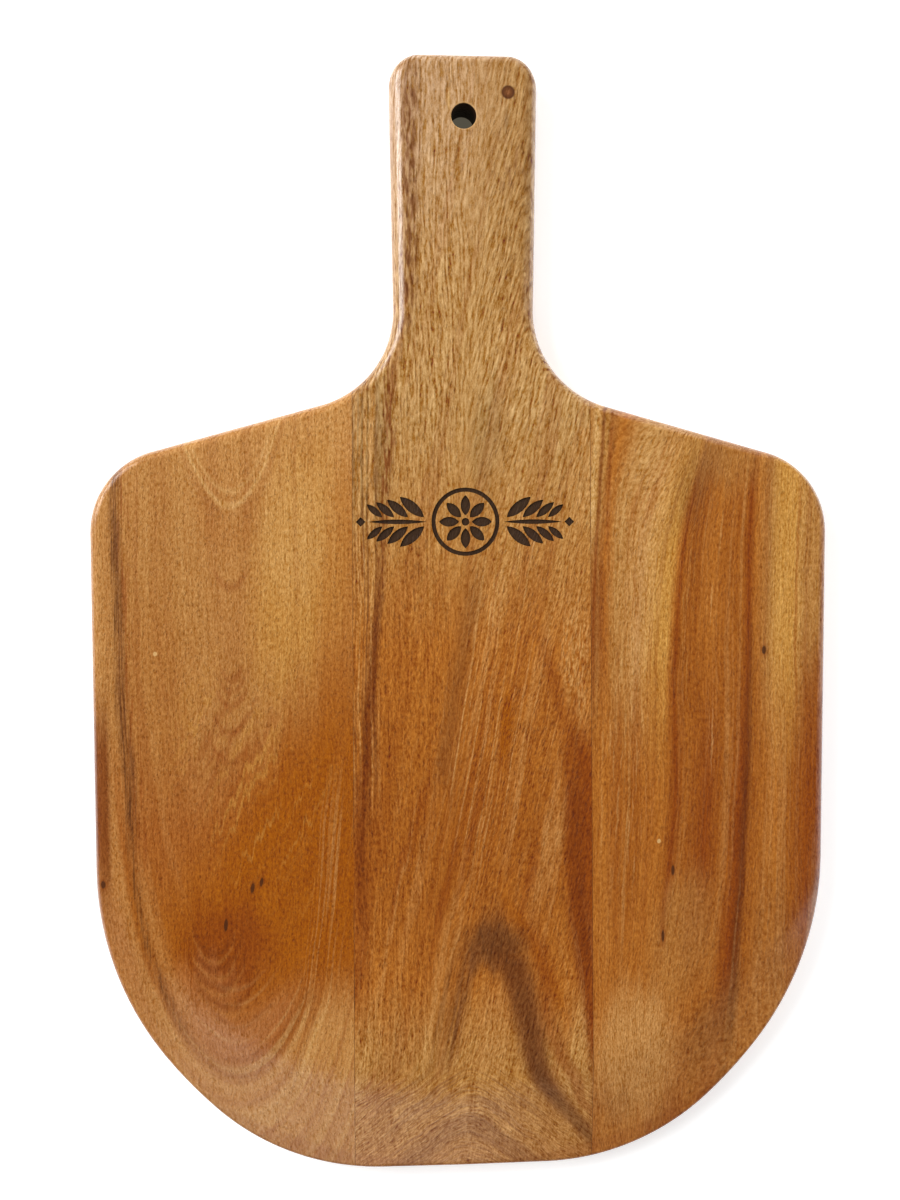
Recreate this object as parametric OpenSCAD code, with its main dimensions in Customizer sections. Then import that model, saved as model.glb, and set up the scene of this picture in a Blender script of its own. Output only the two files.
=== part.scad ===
// Pizza serving board: three wooden staves glued edge to edge. The middle stave
// runs on past the shoulders as a handle with a hanging hole. The board lies on
// its back: top face towards +Z, handle towards +Y, origin under its middle.

/* [Board] */
// Overall length, from the toe to the end of the handle
board_length = 463.5; // [450:0.5:490]
// Width across the blade
board_width = 305; // [290:1:330]
// Thickness of the wood
board_thickness = 16; // [14:0.5:20]
// Length of the blade, from the toe to the top of its straight sides
blade_length = 270; // [255:1:280]

/* [Handle] */
// Width of the handle at its end
handle_end_width = 61; // [56:0.5:68]
// How much each side of the handle runs in towards the neck, in degrees
handle_taper = 0.85; // [0:0.05:2]
// Radius of the two corners at the end of the handle
handle_corner_r = 12.5; // [9:0.5:18]
// Radius of the hollow between the handle and a shoulder
neck_hollow_r = 40.5; // [30:0.5:50]

/* [Shoulders] */
// Fall of a shoulder towards the side of the blade, in degrees
shoulder_fall = 15.5; // [12:0.5:18]
// Radius of the corner between a shoulder and the side of the blade
shoulder_corner_r = 34.5; // [25:0.5:45]

/* [Toe] */
// Radius of the curve that turns a side in towards the toe
toe_side_r = 131; // [115:1:140]
// Angle through which that curve turns, in degrees
toe_side_turn = 37; // [30:0.5:40]
// Radius of the flatter curve that follows it
toe_flank_r = 195; // [150:1:240]
// Angle through which the flatter curve turns, in degrees
toe_flank_turn = 9.5; // [6:0.5:14]
// Width of the straight tip of the toe
toe_tip_width = 71; // [40:1:90]
// Width of the tapered band on the top face, at the tip of the toe
toe_taper_width = 34.5; // [25:0.5:45]
// Radius of the curve where the tapered band leaves the flat top
toe_taper_r = 167; // [155:1:180]
// Fall of the tapered band, in degrees
toe_taper_fall = 8; // [4:0.5:9]

/* [Edges] */
// Rounding of the top edge along the sides of the handle
round_handle = 7; // [4:0.5:7.5]
// Rounding of the top edge at the end of the handle
round_end = 4; // [2:0.5:7]
// Rounding of the top edge along the shoulders and the sides of the blade
round_blade = 4; // [2:0.5:6]
// Rounding of the top edge at the tip of the toe
round_toe = 2; // [1:0.5:3]
// Rounding of the whole lower edge
round_under = 3; // [1.5:0.5:4]

/* [Hanging hole] */
// Diameter of the hanging hole
hole_d = 10; // [8:0.5:14]
// Distance from the end of the handle to the middle of the hole
hole_from_end = 25.2; // [20:0.1:40]
// Width of the small chamfer at both rims of the hole
hole_chamfer = 0.6; // [0.3:0.1:1.2]

/* [Staves] */
// Place of the left seam across the board, where it meets the shoulder
seam_left_at_shoulder = -45.9; // [-60:0.1:-42]
// Place of the left seam across the board, at the toe
seam_left_at_toe = -46.9; // [-60:0.1:-40]
// Place of the right seam across the board, where it meets the shoulder
seam_right_at_shoulder = 51.8; // [42:0.1:60]
// Place of the right seam across the board, at the toe
seam_right_at_toe = 54.4; // [40:0.1:62]
// Thickness of the cured glue in a seam
glue_line = 0.15; // [0.1:0.05:0.4]

/* [Hidden] */

// Facets of the hanging hole
$fn = 64;
// How far a cutting shape runs past the wood
overrun = 2;
// Least width of the rim between a rounded edge and the flat top
flat_rim = 0.5;

// Steps along each stretch of the outline, from the tip of the toe to the handle
tip_steps = 5;
toe_steps = 12;
flank_steps = 3;
corner_steps = 10;
side_steps = 4;
shoulder_steps = 10;
slope_steps = 2;
neck_steps = 12;
grip_steps = 3;
end_steps = 12;
// Steps of the rounded lower and upper edges
under_steps = 4;
round_steps = 5;

// Levels along the board
half_width = board_width / 2;
toe_y = -board_length / 2;
end_y = board_length / 2;
side_top_y = toe_y + blade_length;
hole_y = end_y - hole_from_end;

// The toe: three curves that turn a quarter from the side to the straight tip
flank_angle = toe_side_turn + toe_flank_turn;
toe_side_in = toe_side_r * (1 - cos(toe_side_turn));
toe_flank_in = toe_flank_r * (cos(toe_side_turn) - cos(flank_angle));
toe_tip_r = (half_width - toe_tip_width / 2 - toe_side_in - toe_flank_in) / cos(flank_angle);
toe_tip_c = [toe_tip_width / 2, toe_y + toe_tip_r];
toe_flank_c = toe_tip_c + (toe_tip_r - toe_flank_r) * ray(-flank_angle);
toe_side_c = toe_flank_c + (toe_flank_r - toe_side_r) * ray(-toe_side_turn);
side_foot = [half_width, toe_side_c.y];

// The shoulder: a corner curve, then a straight slope
slope_angle = 90 - shoulder_fall;
shoulder_c = [half_width - shoulder_corner_r, side_top_y];
slope_foot = shoulder_c + shoulder_corner_r * ray(slope_angle);

// The neck hollow touches the slope and the side of the handle
grip_angle = -handle_taper;
slope_reach = slope_foot * ray(slope_angle) + neck_hollow_r;
grip_reach = [handle_end_width / 2, end_y] * ray(grip_angle) + neck_hollow_r;
neck_c = crossing(slope_angle, slope_reach, grip_angle, grip_reach);
slope_head = neck_c - neck_hollow_r * ray(slope_angle);
grip_foot = neck_c - neck_hollow_r * ray(grip_angle);

// The end corner touches the side of the handle and its end
end_c = crossing(grip_angle, grip_reach - neck_hollow_r - handle_corner_r, 90, end_y - handle_corner_r);

// The tapered band of the toe ends on a circle around this point
taper_c = [0, toe_y + toe_taper_width + toe_taper_r];

// Direction of an angle
function ray(angle) = [cos(angle), sin(angle)];

// Point that lies a given reach along two directions
function crossing(angle_a, reach_a, angle_b, reach_b) =
    let (turn = sin(angle_b - angle_a))
    [(reach_a * sin(angle_b) - reach_b * sin(angle_a)) / turn,
     (reach_b * cos(angle_a) - reach_a * cos(angle_b)) / turn];

// A station of the outline: [point, outward angle, rounding of its top edge]
function bow(centre, radius, from, to, steps, rounding) = [
    for (i = [1:steps])
        let (share = i / steps, angle = from + (to - from) * share)
        [centre + radius * ray(angle), angle, blend(rounding, share)]
];
function stretch(start, finish, angle, steps, rounding) = [
    for (i = [1:steps])
        [start + (finish - start) * i / steps, angle, rounding]
];
function blend(ends, share) = ends[0] + (ends[1] - ends[0]) * share;

// Right half of the outline, from the middle of the tip to the end corner
right_half = concat(
    [[[0, toe_y], -90, round_toe]],
    stretch([0, toe_y], [toe_tip_c.x, toe_y], -90, tip_steps, round_toe),
    bow(toe_tip_c, toe_tip_r, -90, -flank_angle, toe_steps, [round_toe, round_toe]),
    bow(toe_flank_c, toe_flank_r, -flank_angle, -toe_side_turn, flank_steps, [round_toe, round_toe]),
    bow(toe_side_c, toe_side_r, -toe_side_turn, 0, corner_steps, [round_toe, round_blade]),
    stretch(side_foot, [half_width, side_top_y], 0, side_steps, round_blade),
    bow(shoulder_c, shoulder_corner_r, 0, slope_angle, shoulder_steps, [round_blade, round_blade]),
    stretch(slope_foot, slope_head, slope_angle, slope_steps, round_blade),
    bow(neck_c, -neck_hollow_r, slope_angle, grip_angle, neck_steps, [round_blade, round_handle]),
    stretch(grip_foot, end_c + handle_corner_r * ray(grip_angle), grip_angle, grip_steps, round_handle),
    bow(end_c, handle_corner_r, grip_angle, 90, end_steps, [round_handle, round_end])
);
last = len(right_half) - 1;
outline = concat(
    right_half,
    [for (i = [last:-1:1]) let (s = right_half[i]) [[-s[0].x, s[0].y], 180 - s[1], s[2]]]
);
count = len(outline);

// Width of the tapered band at a station, measured square to the outline
function taper_width(station) =
    let (
        from_c = station[0] - taper_c,
        along = from_c * ray(station[1]),
        beyond = from_c * from_c - toe_taper_r * toe_taper_r
    )
    from_c.y < 0 && beyond > 0 ? along - sqrt(max(along * along - beyond, 0)) : 0;

// Profile of the edge at a station: [distance in from the outline, height]
function profile(station) =
    let (
        r = station[2],
        band = taper_width(station),
        crown = board_thickness - max(band - r, 0) * tan(toe_taper_fall)
    )
    concat(
        [for (i = [0:under_steps]) let (a = 90 * i / under_steps)
            [round_under * (1 - sin(a)), round_under * (1 - cos(a))]],
        [for (i = [0:round_steps]) let (a = 90 * i / round_steps)
            [r * (1 - cos(a)), crown - r * (1 - sin(a))]],
        [[max(band, r + flat_rim), board_thickness]]
    );
profiles = [for (station = outline) profile(station)];
rings = len(profiles[0]);

// Point number of ring j at station i
function at(j, i) = j * count + (i + count) % count;

// Solid board, before the hole and the seams
module blank() {
    places = [
        for (j = [0:rings - 1], i = [0:count - 1])
            let (p = outline[i][0] - profiles[i][j][0] * ray(outline[i][1]))
            [p.x, p.y, profiles[i][j][1]]
    ];
    walls = [
        for (j = [0:rings - 2], i = [0:count - 1])
            each [[at(j, i), at(j + 1, i), at(j + 1, i + 1)], [at(j, i), at(j + 1, i + 1), at(j, i + 1)]]
    ];
    top = rings - 1;
    roof = concat(
        [[at(top, 0), at(top, -1), at(top, 1)]],
        [for (i = [1:last - 1]) [at(top, -i), at(top, -i - 1), at(top, i + 1), at(top, i)]]
    );
    tip = tip_steps;
    base = concat(
        [concat([at(0, tip + 1)], [for (i = [-tip - 1:tip]) at(0, i)])],
        [for (i = [tip + 1:last - 1]) [at(0, i), at(0, i + 1), at(0, -i - 1), at(0, -i)]]
    );
    polyhedron(places, concat(walls, roof, base), convexity = 4);
}

// Part of the board between two seams, each given as [at the shoulder, at the toe]
module between(left, right) {
    low = toe_y - overrun;
    high = end_y + overrun;
    intersection() {
        blank();
        translate([0, 0, -overrun])
            linear_extrude(board_thickness + 2 * overrun)
                polygon([[seam_x(left, low), low], [seam_x(right, low), low],
                         [seam_x(right, high), high], [seam_x(left, high), high]]);
    }
}
function seam_x(seam, y) = seam[1] + (seam[0] - seam[1]) * (y - toe_y) / (slope_head.y - toe_y);

seam_left = [seam_left_at_shoulder, seam_left_at_toe];
seam_right = [seam_right_at_shoulder, seam_right_at_toe];
half_glue = [glue_line / 2, glue_line / 2];
outside = [half_width + overrun, half_width + overrun];

// Hanging hole with a small chamfer at both rims
module hanging_hole() {
    translate([0, hole_y, -overrun])
        cylinder(d = hole_d, h = board_thickness + 2 * overrun);
    for (face = [0, 1])
        translate([0, hole_y, face * board_thickness])
            mirror([0, 0, face])
                translate([0, 0, -hole_chamfer])
                    cylinder(r1 = hole_d / 2 + 2 * hole_chamfer, r2 = hole_d / 2, h = 2 * hole_chamfer);
}

module stave_left() {
    color([0.72, 0.49, 0.27])
        between(-outside, seam_left - half_glue);
}

module stave_centre() {
    color([0.78, 0.58, 0.36])
        difference() {
            between(seam_left + half_glue, seam_right - half_glue);
            hanging_hole();
        }
}

module stave_right() {
    color([0.69, 0.46, 0.27])
        between(seam_right + half_glue, outside);
}

module glue_line_left() {
    color([0.32, 0.2, 0.11])
        between(seam_left - half_glue, seam_left + half_glue);
}

module glue_line_right() {
    color([0.32, 0.2, 0.11])
        between(seam_right - half_glue, seam_right + half_glue);
}

stave_left();
stave_centre();
stave_right();
glue_line_left();
glue_line_right();
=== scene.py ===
"""Oiled wooden serving board: three staves, two glue lines, a cut ornament and a studio."""

import math

import bmesh
import bpy
from bpy.props import FloatProperty, FloatVectorProperty, IntProperty, PointerProperty
from bpy.types import Operator, Panel, PropertyGroup
from mathutils import Matrix, Vector


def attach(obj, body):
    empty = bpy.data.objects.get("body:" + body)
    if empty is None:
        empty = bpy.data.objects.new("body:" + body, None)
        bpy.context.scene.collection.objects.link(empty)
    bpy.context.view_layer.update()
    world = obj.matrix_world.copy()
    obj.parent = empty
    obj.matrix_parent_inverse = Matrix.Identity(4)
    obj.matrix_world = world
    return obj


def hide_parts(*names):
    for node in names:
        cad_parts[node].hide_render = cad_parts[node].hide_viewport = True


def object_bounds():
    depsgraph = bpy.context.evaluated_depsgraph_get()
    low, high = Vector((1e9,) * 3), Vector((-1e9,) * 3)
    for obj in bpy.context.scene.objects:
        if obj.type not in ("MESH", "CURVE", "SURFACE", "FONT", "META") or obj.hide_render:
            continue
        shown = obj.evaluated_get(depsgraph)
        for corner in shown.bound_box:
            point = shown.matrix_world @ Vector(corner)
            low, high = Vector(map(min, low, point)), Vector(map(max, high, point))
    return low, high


bl_info = {
    "name": "Serving board",
    "version": (1, 0, 0),
    "blender": (4, 5, 0),
    "location": "View3D > Sidebar > Board",
    "description": "Makes an oiled serving board of glued staves, with a cut ornament",
    "category": "Add Mesh",
}

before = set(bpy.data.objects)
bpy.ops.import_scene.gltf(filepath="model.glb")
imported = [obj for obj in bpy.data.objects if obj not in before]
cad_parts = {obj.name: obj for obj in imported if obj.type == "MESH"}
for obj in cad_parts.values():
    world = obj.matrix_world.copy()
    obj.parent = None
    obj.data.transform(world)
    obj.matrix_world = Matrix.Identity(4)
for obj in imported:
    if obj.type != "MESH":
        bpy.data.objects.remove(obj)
cad_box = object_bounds()

MM = 0.001
NEAR = 0.01 * MM
LENGTH = cad_box[1].y - cad_box[0].y
WIDTH = cad_box[1].x - cad_box[0].x
THICKNESS = cad_box[1].z - cad_box[0].z
TOE_Y = cad_box[0].y
END_Y = cad_box[1].y


def linear(code):
    """Linear colour of a six-digit code, as Blender's colour sockets take it."""
    shares = [int(code[i : i + 2], 16) / 255 for i in (0, 2, 4)]
    return tuple(s / 12.92 if s <= 0.04045 else ((s + 0.055) / 1.055) ** 2.4 for s in shares)


def length(label, text, millimetres):
    """A length property, given in millimetres and kept in metres."""
    return FloatProperty(name=label, description=text, default=millimetres * MM, unit="LENGTH", precision=4)


def angle(label, text, degrees):
    """An angle property, given in degrees."""
    return FloatProperty(name=label, description=text, default=math.radians(degrees), unit="ROTATION")


def number(label, text, value):
    """A plain number property."""
    return FloatProperty(name=label, description=text, default=value)


def colour(label, text, code):
    """A colour property, given as a six-digit code."""
    return FloatVectorProperty(
        name=label, description=text, default=linear(code), subtype="COLOR", size=3, min=0.0, max=1.0
    )


class BoardShape(PropertyGroup):
    """Outline and edges of the board."""

    blade_length: length("Blade length", "From the toe to the top of the straight sides", 270)
    handle_end_width: length("Handle width", "Width of the handle at its end", 61)
    handle_taper: angle("Handle taper", "How much each side of the handle runs in towards the neck", 0.85)
    handle_corner_r: length("Handle corner", "Radius of the corners at the end of the handle", 12.5)
    neck_hollow_r: length("Neck hollow", "Radius of the hollow between handle and shoulder", 40.5)
    shoulder_fall: angle("Shoulder fall", "Fall of a shoulder towards the side", 15.5)
    shoulder_corner_r: length("Shoulder corner", "Radius between a shoulder and the side", 34.5)
    toe_side_r: length("Toe side curve", "Radius that turns a side in towards the toe", 131)
    toe_side_turn: angle("Toe side turn", "Angle through which that curve turns", 37)
    toe_flank_r: length("Toe flank curve", "Radius of the flatter curve that follows", 195)
    toe_flank_turn: angle("Toe flank turn", "Angle through which the flatter curve turns", 9.5)
    toe_tip_width: length("Toe tip", "Width of the straight tip", 71)
    taper_width: length("Taper width", "Width of the tapered band at the tip of the toe", 34.5)
    taper_r: length("Taper curve", "Radius of the curve where the tapered band leaves the flat top", 167)
    taper_fall: angle("Taper fall", "Fall of the tapered band", 8)
    taper_blend: length("Taper blend", "Half width over which the taper eases into the flat top", 6)
    round_handle: length("Handle rounding", "Rounding of the top edge along the handle", 7)
    round_end: length("End rounding", "Rounding of the top edge at the end of the handle", 4)
    round_blade: length("Blade rounding", "Rounding of the top edge round the blade", 4)
    round_toe: length("Toe rounding", "Rounding of the top edge at the toe", 2)
    round_under: length("Lower rounding", "Rounding of the whole lower edge", 3)
    hole_d: length("Hole", "Diameter of the hanging hole", 10)
    hole_from_end: length("Hole place", "From the end of the handle to the middle of the hole", 25.2)
    hole_chamfer: length("Hole chamfer", "Width of the chamfer at the rims of the hole", 0.6)
    seam_left_head: length("Left seam, shoulder", "Place of the left seam at the shoulder", -45.9)
    seam_left_foot: length("Left seam, toe", "Place of the left seam at the toe", -46.9)
    seam_right_head: length("Right seam, shoulder", "Place of the right seam at the shoulder", 51.8)
    seam_right_foot: length("Right seam, toe", "Place of the right seam at the toe", 54.4)
    glue_line: length("Glue line", "Thickness of the cured glue in a seam", 0.15)
    arc_step: angle("Curve step", "Turn of one step of the outline's curves", 2)
    round_steps: IntProperty(name="Rounding steps", description="Steps of a rounded edge", default=8)
    round_sides: IntProperty(name="Round sides", description="Sides of a hole or ring", default=96)
    taper_grid: length("Taper grid", "Spacing of the cuts that shape the tapered band", 3)


class OrnamentShape(PropertyGroup):
    """Sizes of the ornament cut into the blade, below the neck."""

    centre_x: length("Place across", "The ornament's middle, across the board", 0.3)
    centre_y: length("Place along", "The ornament's middle, along the board", 42.7)
    depth: length("Depth", "Depth of the cut", 0.6)
    ring_r: length("Ring", "Outer radius of the ring round the rosette", 14)
    ring_line: length("Ring line", "Width of the ring's line", 1.7)
    petals: IntProperty(name="Petals", description="Petals of the rosette", default=8, min=3)
    petal_start: length("Petal start", "Distance of a petal's inner tip from the middle", 2.6)
    petal_end: length("Petal end", "Distance of a petal's outer tip from the middle", 10.9)
    petal_width: length("Petal width", "Greatest width of a petal", 4.0)
    bud_r: length("Bud", "Radius of the dot in the middle", 1.6)
    stem_start: length("Stem start", "Where a stem begins, from the middle", 15.8)
    stem_end: length("Stem end", "Where a stem ends, from the middle", 40.0)
    stem_width: length("Stem width", "Greatest width of a stem", 1.9)
    leaf_pairs: IntProperty(name="Leaf pairs", description="Pairs of leaves along a stem", default=4, min=1)
    leaf_length: length("Leaf length", "Length of the first leaf", 13.0)
    leaf_width: length("Leaf width", "Width of the first leaf", 4.4)
    leaf_shrink: number("Leaf shrink", "Size of each leaf against the last", 0.86)
    leaf_lean: angle("Leaf lean", "Angle between a leaf and its stem", 40)
    leaf_gap: length("Leaf gap", "Bare wood left between a leaf and the stem", 0.9)
    leaf_start: length("Leaf start", "From the stem's beginning to the first pair of leaves", 1.2)
    leaf_step: length("Leaf step", "From the first pair of leaves to the second", 6.6)
    leaf_steps: IntProperty(name="Leaf steps", description="Steps of a leaf's edge", default=12)
    tip_size: length("Tip", "Half the width of the lozenge beyond a stem", 2.0)
    tip_x: length("Tip place", "The lozenge's middle, from the ornament's middle", 43.0)


class WoodTones(PropertyGroup):
    """Tones of the oiled wood, palest first."""

    straw: colour("Straw", "Palest grain lines", "d3a66a")
    sand: colour("Sand", "Pale porous wood", "be884c")
    handle: colour("Handle", "Wood of the handle and neck", "b58952")
    honey: colour("Honey", "Golden wood", "c18a3f")
    tan: colour("Tan", "Warm wood under the neck", "b07b3e")
    # Rose: pinkish wood; on the tapered band it is also laid as painted sheen
    rose: colour("Rose", "Pinkish wood of the tapered band", "a96a3a")
    amber: colour("Amber", "Darker golden wood", "ab6722")
    copper: colour("Copper", "Brown-orange wood of the lower blade", "9e5a18")
    flame: colour("Flame", "Saturated orange wood", "9b5200")
    russet: colour("Russet", "Red-brown wood", "873f04")
    chestnut: colour("Chestnut", "Dark red-brown streaks", "763604")
    olive: colour("Olive", "Greyish striped wood by the left seam", "86673c")
    plum: colour("Plum", "Mottled grey-brown streaks", "74431e")
    umber: colour("Umber", "Darkest streaks", "4a250b")
    # Pale pinkish tone near the handle's end: partly the wood's own tone, partly painted sheen
    bloom_and_sheen: colour("Bloom", "Pinkish bloom near the end of the handle", "bb9a85")
    pore: colour("Pore", "Open pores", "40200a")
    burnt: colour("Burnt", "Burnt floor of the ornament", "37261a")
    glue: colour("Glue", "Cured glue in the seams", "5a3519")
    # Near-black wall of the hanging hole: partly end grain, partly painted shade inside the hole
    bore_and_shade: colour("Bore", "Wall of the hanging hole", "1e0b07")


class BoardStudio(PropertyGroup):
    """Floor, lights and camera."""

    floor_size: length("Floor", "Width of the floor", 6000)
    floor_tone: FloatVectorProperty(
        name="Floor colour", description="Colour of the floor", default=(0.97, 0.97, 0.97), subtype="COLOR"
    )
    # Painted shadow: the floor seen through the hanging hole is laid darker, for the board's shade over it
    hole_floor_shadow: FloatVectorProperty(
        name="Floor in the hole", description="Colour of the floor seen through the hanging hole",
        default=(0.2, 0.18, 0.13), subtype="COLOR",
    )
    floor_glow: number("Floor glow", "Strength of the floor's own light", 0.42)
    camera_x: length("Camera x", "Camera place across the board", -32.34)
    camera_y: length("Camera y", "Camera place along the board", 32.55)
    camera_z: length("Camera height", "Camera height over the floor", 480.89)
    aim_x: length("Aim x", "Where the lens points, across the board, on the floor", -5.28)
    aim_y: length("Aim y", "Where the lens points, along the board, on the floor", 9.77)
    roll: angle("Roll", "Turn of the camera about its own axis", -0.175)
    lens: number("Lens", "Focal length in millimetres", 33.93)
    world: number("World", "Strength of the light from all round", 0.06)
    key: number("Key", "Power of the light from the upper left, in watts", 57)
    top: number("Top", "Power of the light beyond the handle, in watts", 32)
    right: number("Right", "Power of the light on the right, in watts", 25)
    front: number("Front", "Power of the light beyond the toe, in watts", 9)


def board_shape():
    """The board's sizes."""
    return bpy.context.scene.board_shape


def hole_y(s):
    """Place of the hanging hole's middle along the board."""
    return END_Y - s.hole_from_end


# Outline, worked out from the board's sizes


def ray(turn):
    """Unit vector in the plane of the board, at an angle from +X."""
    return Vector((math.cos(turn), math.sin(turn), 0.0))


def crossing(turn_a, reach_a, turn_b, reach_b):
    """Point that lies a given reach along each of two directions."""
    lines = Matrix(((math.cos(turn_a), math.sin(turn_a)), (math.cos(turn_b), math.sin(turn_b))))
    x, y = lines.inverted() @ Vector((reach_a, reach_b))
    return Vector((x, y, 0.0))


class Outline:
    """Centres and feet of the outline's curves, on the right half of the board."""

    def __init__(self, s):
        quarter = math.pi / 2
        half = WIDTH / 2
        flank = s.toe_side_turn + s.toe_flank_turn
        side_in = s.toe_side_r * (1 - math.cos(s.toe_side_turn))
        flank_in = s.toe_flank_r * (math.cos(s.toe_side_turn) - math.cos(flank))
        self.tip_r = (half - s.toe_tip_width / 2 - side_in - flank_in) / math.cos(flank)
        self.tip_foot = Vector((s.toe_tip_width / 2, TOE_Y, 0.0))
        self.tip_c = self.tip_foot + Vector((0.0, self.tip_r, 0.0))
        self.flank_c = self.tip_c + (self.tip_r - s.toe_flank_r) * ray(-flank)
        self.side_c = self.flank_c + (s.toe_flank_r - s.toe_side_r) * ray(-s.toe_side_turn)
        self.side_foot = Vector((half, self.side_c.y, 0.0))
        self.side_top = Vector((half, TOE_Y + s.blade_length, 0.0))
        self.shoulder_c = self.side_top - Vector((s.shoulder_corner_r, 0.0, 0.0))
        slope = quarter - s.shoulder_fall
        slope_foot = self.shoulder_c + s.shoulder_corner_r * ray(slope)
        grip = -s.handle_taper
        slope_reach = slope_foot.dot(ray(slope)) + s.neck_hollow_r
        grip_reach = Vector((s.handle_end_width / 2, END_Y, 0.0)).dot(ray(grip)) + s.neck_hollow_r
        self.neck_c = crossing(slope, slope_reach, grip, grip_reach)
        self.slope_head = self.neck_c - s.neck_hollow_r * ray(slope)
        self.grip_foot = self.neck_c - s.neck_hollow_r * ray(grip)
        inner = grip_reach - s.neck_hollow_r - s.handle_corner_r
        self.end_c = crossing(grip, inner, quarter, END_Y - s.handle_corner_r)
        self.grip_head = self.end_c + s.handle_corner_r * ray(grip)
        self.end_foot = self.end_c + Vector((0.0, s.handle_corner_r, 0.0))
        self.taper_c = Vector((0.0, TOE_Y + s.taper_width + s.taper_r, 0.0))
        self.flank, self.slope, self.grip = flank, slope, grip
        self.seams = {
            "left": (s.seam_left_head, s.seam_left_foot),
            "right": (s.seam_right_head, s.seam_right_foot),
        }

    def rounding(self, s, y):
        """Rounding of the top edge at a place along the board."""
        marks = [
            (self.flank_c.y + s.toe_flank_r * math.sin(-s.toe_side_turn), s.round_toe),
            (self.side_foot.y, s.round_blade),
            (self.slope_head.y, s.round_blade),
            (self.grip_foot.y, s.round_handle),
            (self.end_c.y, s.round_handle),
            (END_Y, s.round_end),
        ]
        if y <= marks[0][0]:
            return marks[0][1]
        for (y0, r0), (y1, r1) in zip(marks, marks[1:]):
            if y <= y1:
                return r0 + (r1 - r0) * (y - y0) / (y1 - y0)
        return marks[-1][1]


# Modelling helpers


def deselect():
    """Leaves edit mode and selects nothing."""
    if bpy.context.object and bpy.context.object.mode != "OBJECT":
        bpy.ops.object.mode_set(mode="OBJECT")
    bpy.ops.object.select_all(action="DESELECT")


def activate(obj):
    """Selects one object alone."""
    deselect()
    obj.select_set(True)
    bpy.context.view_layer.objects.active = obj


def edit(obj, mode):
    """Opens one object's mesh, to work on vertices, edges or faces."""
    activate(obj)
    bpy.ops.object.mode_set(mode="EDIT")
    bpy.ops.mesh.select_mode(type=mode)


def pick(obj, kind, test):
    """Selects the vertices, edges or faces that pass a test, in edit mode, and nothing else."""
    bpy.ops.mesh.select_all(action="DESELECT")
    mesh = bmesh.from_edit_mesh(obj.data)
    found = 0
    for part in getattr(mesh, kind):
        if test(part):
            part.select_set(True)
            found += 1
    mesh.select_flush_mode()
    bmesh.update_edit_mesh(obj.data)
    return found


def done():
    """Goes back to object mode."""
    bpy.ops.object.mode_set(mode="OBJECT")


def apply(obj, kind, **settings):
    """Adds a modifier, sets it and applies it."""
    activate(obj)
    modifier = obj.modifiers.new(kind.lower(), kind)
    for key, value in settings.items():
        setattr(modifier, key, value)
    bpy.ops.object.modifier_apply(modifier=modifier.name)


def duplicate(obj, name):
    """A copy with a mesh of its own."""
    activate(obj)
    bpy.ops.object.duplicate()
    copy = bpy.context.object
    copy.name = name
    copy.data.name = name
    return copy


def start_point(place):
    """A mesh of a single point, in edit mode."""
    deselect()
    bpy.ops.mesh.primitive_plane_add(size=MM, location=(0, 0, 0))
    bpy.ops.object.mode_set(mode="EDIT")
    bpy.ops.mesh.select_mode(type="VERT")
    bpy.ops.mesh.select_all(action="SELECT")
    bpy.ops.mesh.merge(type="CENTER")
    bpy.ops.transform.translate(value=place)
    return bpy.context.object


def draw_line(start, end):
    """Extrudes the outline's last point by one straight stretch."""
    bpy.ops.mesh.extrude_region_move(TRANSFORM_OT_translate={"value": end - start})


def draw_arc(centre, turn, step):
    """Spins the outline's last point about a centre; the operator counts turns clockwise."""
    steps = max(2, round(abs(turn) / step))
    bpy.ops.mesh.spin(steps=steps, angle=-turn, center=centre, axis=(0, 0, 1))


def make_blank(s, line):
    """The whole board as one solid, before the seams are cut: outline, rounded edges and tapered toe."""
    start = Vector((0, TOE_Y, 0))
    blank = start_point(start)
    blank.name = "blank"
    quarter = math.pi / 2
    draw_line(start, line.tip_foot)
    draw_arc(line.tip_c, quarter - line.flank, s.arc_step)
    draw_arc(line.flank_c, s.toe_flank_turn, s.arc_step)
    draw_arc(line.side_c, s.toe_side_turn, s.arc_step)
    draw_line(line.side_foot, line.side_top)
    draw_arc(line.shoulder_c, line.slope, s.arc_step)
    draw_line(line.shoulder_c + s.shoulder_corner_r * ray(line.slope), line.slope_head)
    draw_arc(line.neck_c, line.grip - line.slope, s.arc_step)
    draw_line(line.grip_foot, line.grip_head)
    draw_arc(line.end_c, quarter - line.grip, s.arc_step)
    draw_line(line.end_foot, Vector((0, END_Y, 0)))
    done()
    apply(blank, "MIRROR", use_axis=(True, False, False), merge_threshold=NEAR)
    edit(blank, "EDGE")
    bpy.ops.mesh.select_all(action="SELECT")
    bpy.ops.mesh.edge_face_add()
    bpy.ops.mesh.extrude_region_move(TRANSFORM_OT_translate={"value": (0, 0, THICKNESS)})
    bpy.ops.mesh.select_all(action="SELECT")
    bpy.ops.mesh.normals_make_consistent(inside=False)
    done()
    weights = blank.data.attributes.new("bevel_weight_edge", "FLOAT", "EDGE")
    for e in blank.data.edges:
        a, b = (blank.data.vertices[i].co for i in e.vertices)
        middle = (a.y + b.y) / 2
        rim = line.rounding(s, middle) if a.z > THICKNESS / 2 else s.round_under
        weights.data[e.index].value = rim / s.round_handle if a.z == b.z else 0.0
    apply(
        blank, "BEVEL", width=s.round_handle, segments=s.round_steps, limit_method="WEIGHT",
        offset_type="OFFSET", use_clamp_overlap=False,
    )
    shape_taper(blank, s, line)


def the_blank(s, line):
    """The blank, made when it is first asked for."""
    if "blank" not in bpy.data.objects:
        make_blank(s, line)
    return bpy.data.objects["blank"]


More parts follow.
